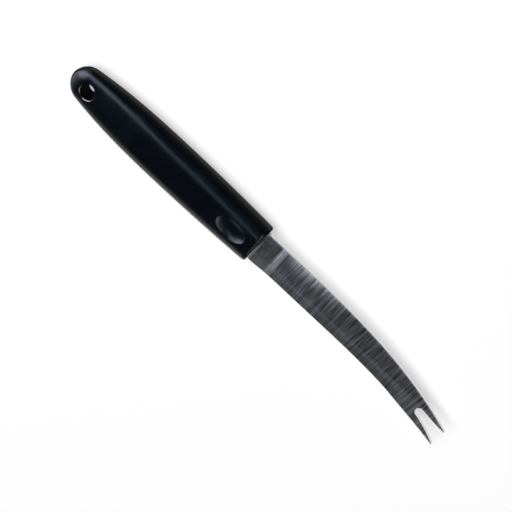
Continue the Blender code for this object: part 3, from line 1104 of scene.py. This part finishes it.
def steel_material(settings):
    """Steel ground across the blade, whose marks spread the lights' shine along it."""
    shader = Shader("cross_ground_steel")
    x, y, z = shader.parts(shader.place())
    from_heel = shader.less(x, HEEL_X)
    lean = shader.times(shader.step(from_heel, *LEANING), settings.lean)
    slant = shader.less(x, shader.times(lean, y))
    leaning = shader.add("ShaderNodeCombineXYZ", {0: slant, 1: y, 2: z}).outputs[0]

    def marks(along, across, detail):
        stretch = (1 / along, 1 / across, 1 / across)
        return shader.noise(leaning, stretch, detail, NOISE_ROUGHNESS)

    ground = shader.step(from_heel, *GROUND_FROM)
    bevel = shader.step(y, *BEVEL_FROM)

    # How light or dark each mark is: streaks where the blade is ground, blotches at the shoulder
    fine = marks(*FINE_MARKS)
    streak = shader.mix_value(FINE_SHARE, marks(*COARSE_MARKS), fine)
    streak = shader.ramp(streak, *STREAK_NOISE)
    blotch = shader.ramp(marks(*BLOTCHES), *BLOTCH_NOISE)
    depth = shader.times(shader.ramp(bevel, 0.0, 1.0, 1.0, BEVEL_MARK_SHARE), settings.streaks)
    mark = shader.times(shader.less(shader.mix_value(ground, blotch, streak), 0.5), depth)

    # Duller where the belt first touched the blade and along the spine
    first_pass = shader.times(shader.band(from_heel, *FIRST_PASS), FIRST_PASS_SHARE)
    rising = shader.times(shader.step(from_heel, *RUBBED_RISE), shader.step(from_heel, *RUBBED_FALL))
    near_spine = shader.times(shader.step(y, *NEAR_SPINE), rising)
    broad = shader.ramp(marks(*BROAD_MARKS), *BROAD_NOISE, *BROAD_LEVELS)
    near_spine = shader.times(near_spine, broad)
    rubbed = shader.maths("MAXIMUM", first_pass, near_spine)
    line = shader.band(from_heel, *SHOULDER_LINE)
    rough = shader.plus(PLAIN_ROUGHNESS, shader.times(bevel, BEVEL_ROUGHNESS))
    rough = shader.plus(rough, shader.times(mark, MARK_ROUGHNESS))
    rough = shader.plus(rough, shader.times(rubbed, settings.rubbed))
    rough = shader.plus(rough, shader.times(line, SHOULDER_LINE_ROUGHNESS))

    # Lighter in single scratches and in the painted highlight of the line at the handle, darker in the
    # groove and onwards
    scratch = shader.times(shader.step(marks(*SCRATCHES), *SCRATCH_NOISE), ground)
    least, more = SHOULDER_LINE_HIGHLIGHT
    shoulder_highlight = shader.plus(least, shader.times(shader.step(y, *SHOULDER_HIGHLIGHT_SIDE), more))
    tone = shader.plus(shader.plus(1.0, mark), shader.times(scratch, SCRATCH_LIGHT))
    tone = shader.less(tone, shader.times(shader.band(from_heel, *GROOVE), GROOVE_DARK))
    tone = shader.less(tone, shader.ramp(from_heel, *DARKENING, 0.0, FAR_DARK))
    # Painted highlight along the shoulder line at the handle
    tone = shader.plus(tone, shader.times(line, shoulder_highlight))
    colour = shader.add("ShaderNodeVectorMath", {0: settings.colour, 1: tone}, operation="MULTIPLY")
    shader.finish(
        Base_Color=colour.outputs[0],
        Metallic=1.0,
        Roughness=rough,
        Anisotropic=ANISOTROPY,
        Tangent=shader.add("ShaderNodeCombineXYZ", {0: 1.0, 1: 0.0, 2: 0.0}).outputs[0],
        Normal=shader.bump(fine, *STEEL_BUMP),
    )
    return shader.material


def spine_material(settings):
    """The plain, rolled steel of the spine and of the fork's sides."""
    shader = Shader("plain_steel")
    shader.finish(Base_Color=(*settings.spine_colour, 1), Metallic=1.0, Roughness=SPINE_ROUGHNESS)
    return shader.material


class KNIFE_OT_handle(bpy.types.Operator):
    """Build the moulded handle with its hang hole, thumb recess and socket"""

    bl_idname = "knife.handle"
    bl_label = "Handle"

    def execute(self, context):
        settings = context.scene.knife_handle
        bm = handle_mesh(settings)
        plastic = [plastic_material(settings)]
        finish_piece("moulded_handle", bm, plastic, "handle", HANDLE_SHARP_ANGLE)
        return {"FINISHED"}


class KNIFE_OT_blade(bpy.types.Operator):
    """Build the ground blade with its fork and its tang"""

    bl_idname = "knife.blade"
    bl_label = "Blade"

    def execute(self, context):
        settings = context.scene.knife_blade
        bm = cut_from(blade_mesh(settings), fork_mesh())
        bmesh.ops.remove_doubles(bm, verts=bm.verts, dist=MERGE_DISTANCE)
        for face in bm.faces:
            face.material_index = int(face.normal.y > SPINE_FACING)
        steel = [steel_material(settings), spine_material(settings)]
        finish_piece("ground_blade", bm, steel, "blade", BLADE_SHARP_ANGLE)
        return {"FINISHED"}


class KNIFE_OT_stage(bpy.types.Operator):
    """Set up the floor, the lights and the camera"""

    bl_idname = "knife.stage"
    bl_label = "Stage"

    def execute(self, context):
        settings = context.scene.knife_stage
        lay_floor(settings)
        hang_light(settings)
        light_world(settings)
        aim_camera(settings)
        context.scene.view_settings.view_transform = "Standard"
        return {"FINISHED"}


def lay_floor(settings):
    """A white floor that the camera sees lit and that reflections see dark, with pools of light."""
    bm = bmesh.new()
    bmesh.ops.create_grid(bm, x_segments=1, y_segments=1, size=FLOOR_HALF_SIZE)
    mesh = bpy.data.meshes.new("floor")
    bm.to_mesh(mesh)
    bm.free()
    floor = bpy.data.objects.new("floor", mesh)
    bpy.context.scene.collection.objects.link(floor)
    shader = Shader("white_floor")
    rays = shader.add("ShaderNodeLightPath").outputs
    mirrored = shader.maths("MAXIMUM", rays["Is Glossy Ray"], rays["Is Transmission Ray"])
    dim = [MIRRORED_FLOOR_SHARE * part for part in settings.floor_colour]
    seen = shader.times(rays["Is Camera Ray"], settings.floor_glow)
    pool = shader.times(mirrored, pool_of_light(shader))
    shader.finish(
        Base_Color=shader.mix(mirrored, (*settings.floor_colour, 1), (*dim, 1)),
        Roughness=FLOOR_ROUGHNESS,
        Specular_IOR_Level=0.0,
        Emission_Color=WHITE,
        Emission_Strength=shader.plus(seen, pool),
    )
    mesh.materials.append(shader.material)


def pool_of_light(shader):
    """How bright reflections see the floor: lit under the blade and on both sides of the handle."""
    x, y = shader.parts(shader.add("ShaderNodeTexCoord").outputs["Object"])[:2]
    off_axis = shader.less(y, AXIS_Y)
    blade_side = shader.step(y, *BLADE_POOL)
    low_side = shader.times(shader.step(off_axis, *LOW_POOL), LOW_POOL_STRENGTH)
    rise, fall = shader.step(off_axis, *HIGH_POOL_RISE), shader.step(off_axis, *HIGH_POOL_FALL)
    high_side = shader.times(shader.times(rise, fall), HIGH_POOL_STRENGTH)
    handle_side = shader.plus(low_side, high_side)
    beyond = shader.maths("GREATER_THAN", x, HANDLE_HIGH.x)
    return shader.mix_value(beyond, handle_side, blade_side)


def hang_light(settings):
    """One wide, soft light overhead, which the plastic's and the steel's shine leave out."""
    lamp = bpy.data.lights.new("fill_softbox", "AREA")
    lamp.shape = "RECTANGLE"
    lamp.size, lamp.size_y = FILL_SIZE
    lamp.energy = settings.fill_power
    fill = bpy.data.objects.new("fill_softbox", lamp)
    fill.location = FILL_PLACE
    fill.visible_glossy = False
    bpy.context.scene.collection.objects.link(fill)


def light_world(settings):
    """Large soft lights in a dark studio, and white where the camera looks past the floor."""
    world = bpy.data.worlds.new("studio")
    world.use_nodes = True
    world.cycles_visibility.diffuse = False
    bpy.context.scene.world = world
    nodes = Nodes(world.node_tree)
    direction = nodes.add("ShaderNodeTexCoord").outputs["Generated"]
    total = STUDIO_DARK
    for turn, height, core, reach, colour in SOFT_LIGHTS:
        turn, height, core, reach = (math.radians(angle) for angle in (turn, height, core, reach))
        level = math.cos(height)
        centre = (level * math.cos(turn), level * math.sin(turn), math.sin(height))
        towards = nodes.add("ShaderNodeVectorMath", {0: direction, 1: centre}, operation="DOT_PRODUCT")
        fade = nodes.step(towards.outputs["Value"], math.cos(reach), math.cos(core))
        strength = [part * settings.studio_strength for part in colour]
        inputs = {0: fade, 1: strength, 2: total}
        total = nodes.add("ShaderNodeVectorMath", inputs, operation="MULTIPLY_ADD").outputs["Vector"]
    seen = nodes.add("ShaderNodeLightPath").outputs["Is Camera Ray"]
    background = nodes.tree.nodes["Background"]
    nodes.feed(background, "Color", nodes.mix(seen, total, WHITE))


def aim_camera(settings):
    """Looks from the spine side, with the knife running down across the picture."""
    high, turn = settings.camera_height, settings.camera_turn
    back = Vector((0, math.cos(high), math.sin(high)))
    along = Vector((1, 0, 0))
    across = Vector((0, math.sin(high), -math.cos(high)))
    right = along * math.cos(turn) + across * math.sin(turn)
    up = across * math.cos(turn) - along * math.sin(turn)
    place = packed(PICTURE_MIDDLE) + back * settings.camera_distance
    lens = bpy.data.cameras.new("camera")
    lens.sensor_width = SENSOR_WIDTH
    lens.lens = SENSOR_WIDTH * settings.camera_distance / PICTURE_WIDTH
    camera = bpy.data.objects.new("camera", lens)
    axes = Matrix((right, up, back)).transposed().to_4x4()
    camera.matrix_world = Matrix.Translation(place) @ axes
    bpy.context.scene.collection.objects.link(camera)
    bpy.context.scene.camera = camera


class KNIFE_PT_build(bpy.types.Panel):
    """Lists the knife's pieces and its stage in the sidebar"""

    bl_idname = "KNIFE_PT_build"
    bl_label = "Bar knife"
    bl_space_type = "VIEW_3D"
    bl_region_type = "UI"
    bl_category = "Bar knife"

    def draw(self, context):
        for operator, group in PANEL_ROWS:
            self.layout.operator(operator)
            settings = getattr(context.scene, group)
            for name in settings.__annotations__:
                self.layout.prop(settings, name)


PANEL_ROWS = (
    ("knife.handle", "knife_handle"),
    ("knife.blade", "knife_blade"),
    ("knife.stage", "knife_stage"),
)
GROUPS = {
    "knife_handle": HandleSettings,
    "knife_blade": BladeSettings,
    "knife_stage": StageSettings,
}
CLASSES = (*GROUPS.values(), KNIFE_OT_handle, KNIFE_OT_blade, KNIFE_OT_stage, KNIFE_PT_build)


def register():
    for cls in CLASSES:
        bpy.utils.register_class(cls)
    for name, group in GROUPS.items():
        setattr(bpy.types.Scene, name, bpy.props.PointerProperty(type=group))


def unregister():
    for name in GROUPS:
        delattr(bpy.types.Scene, name)
    for cls in reversed(CLASSES):
        bpy.utils.unregister_class(cls)


def main():
    register()
    bpy.ops.knife.handle()
    bpy.ops.knife.blade()
    bpy.ops.knife.stage()


if __name__ == "__main__":
    main()
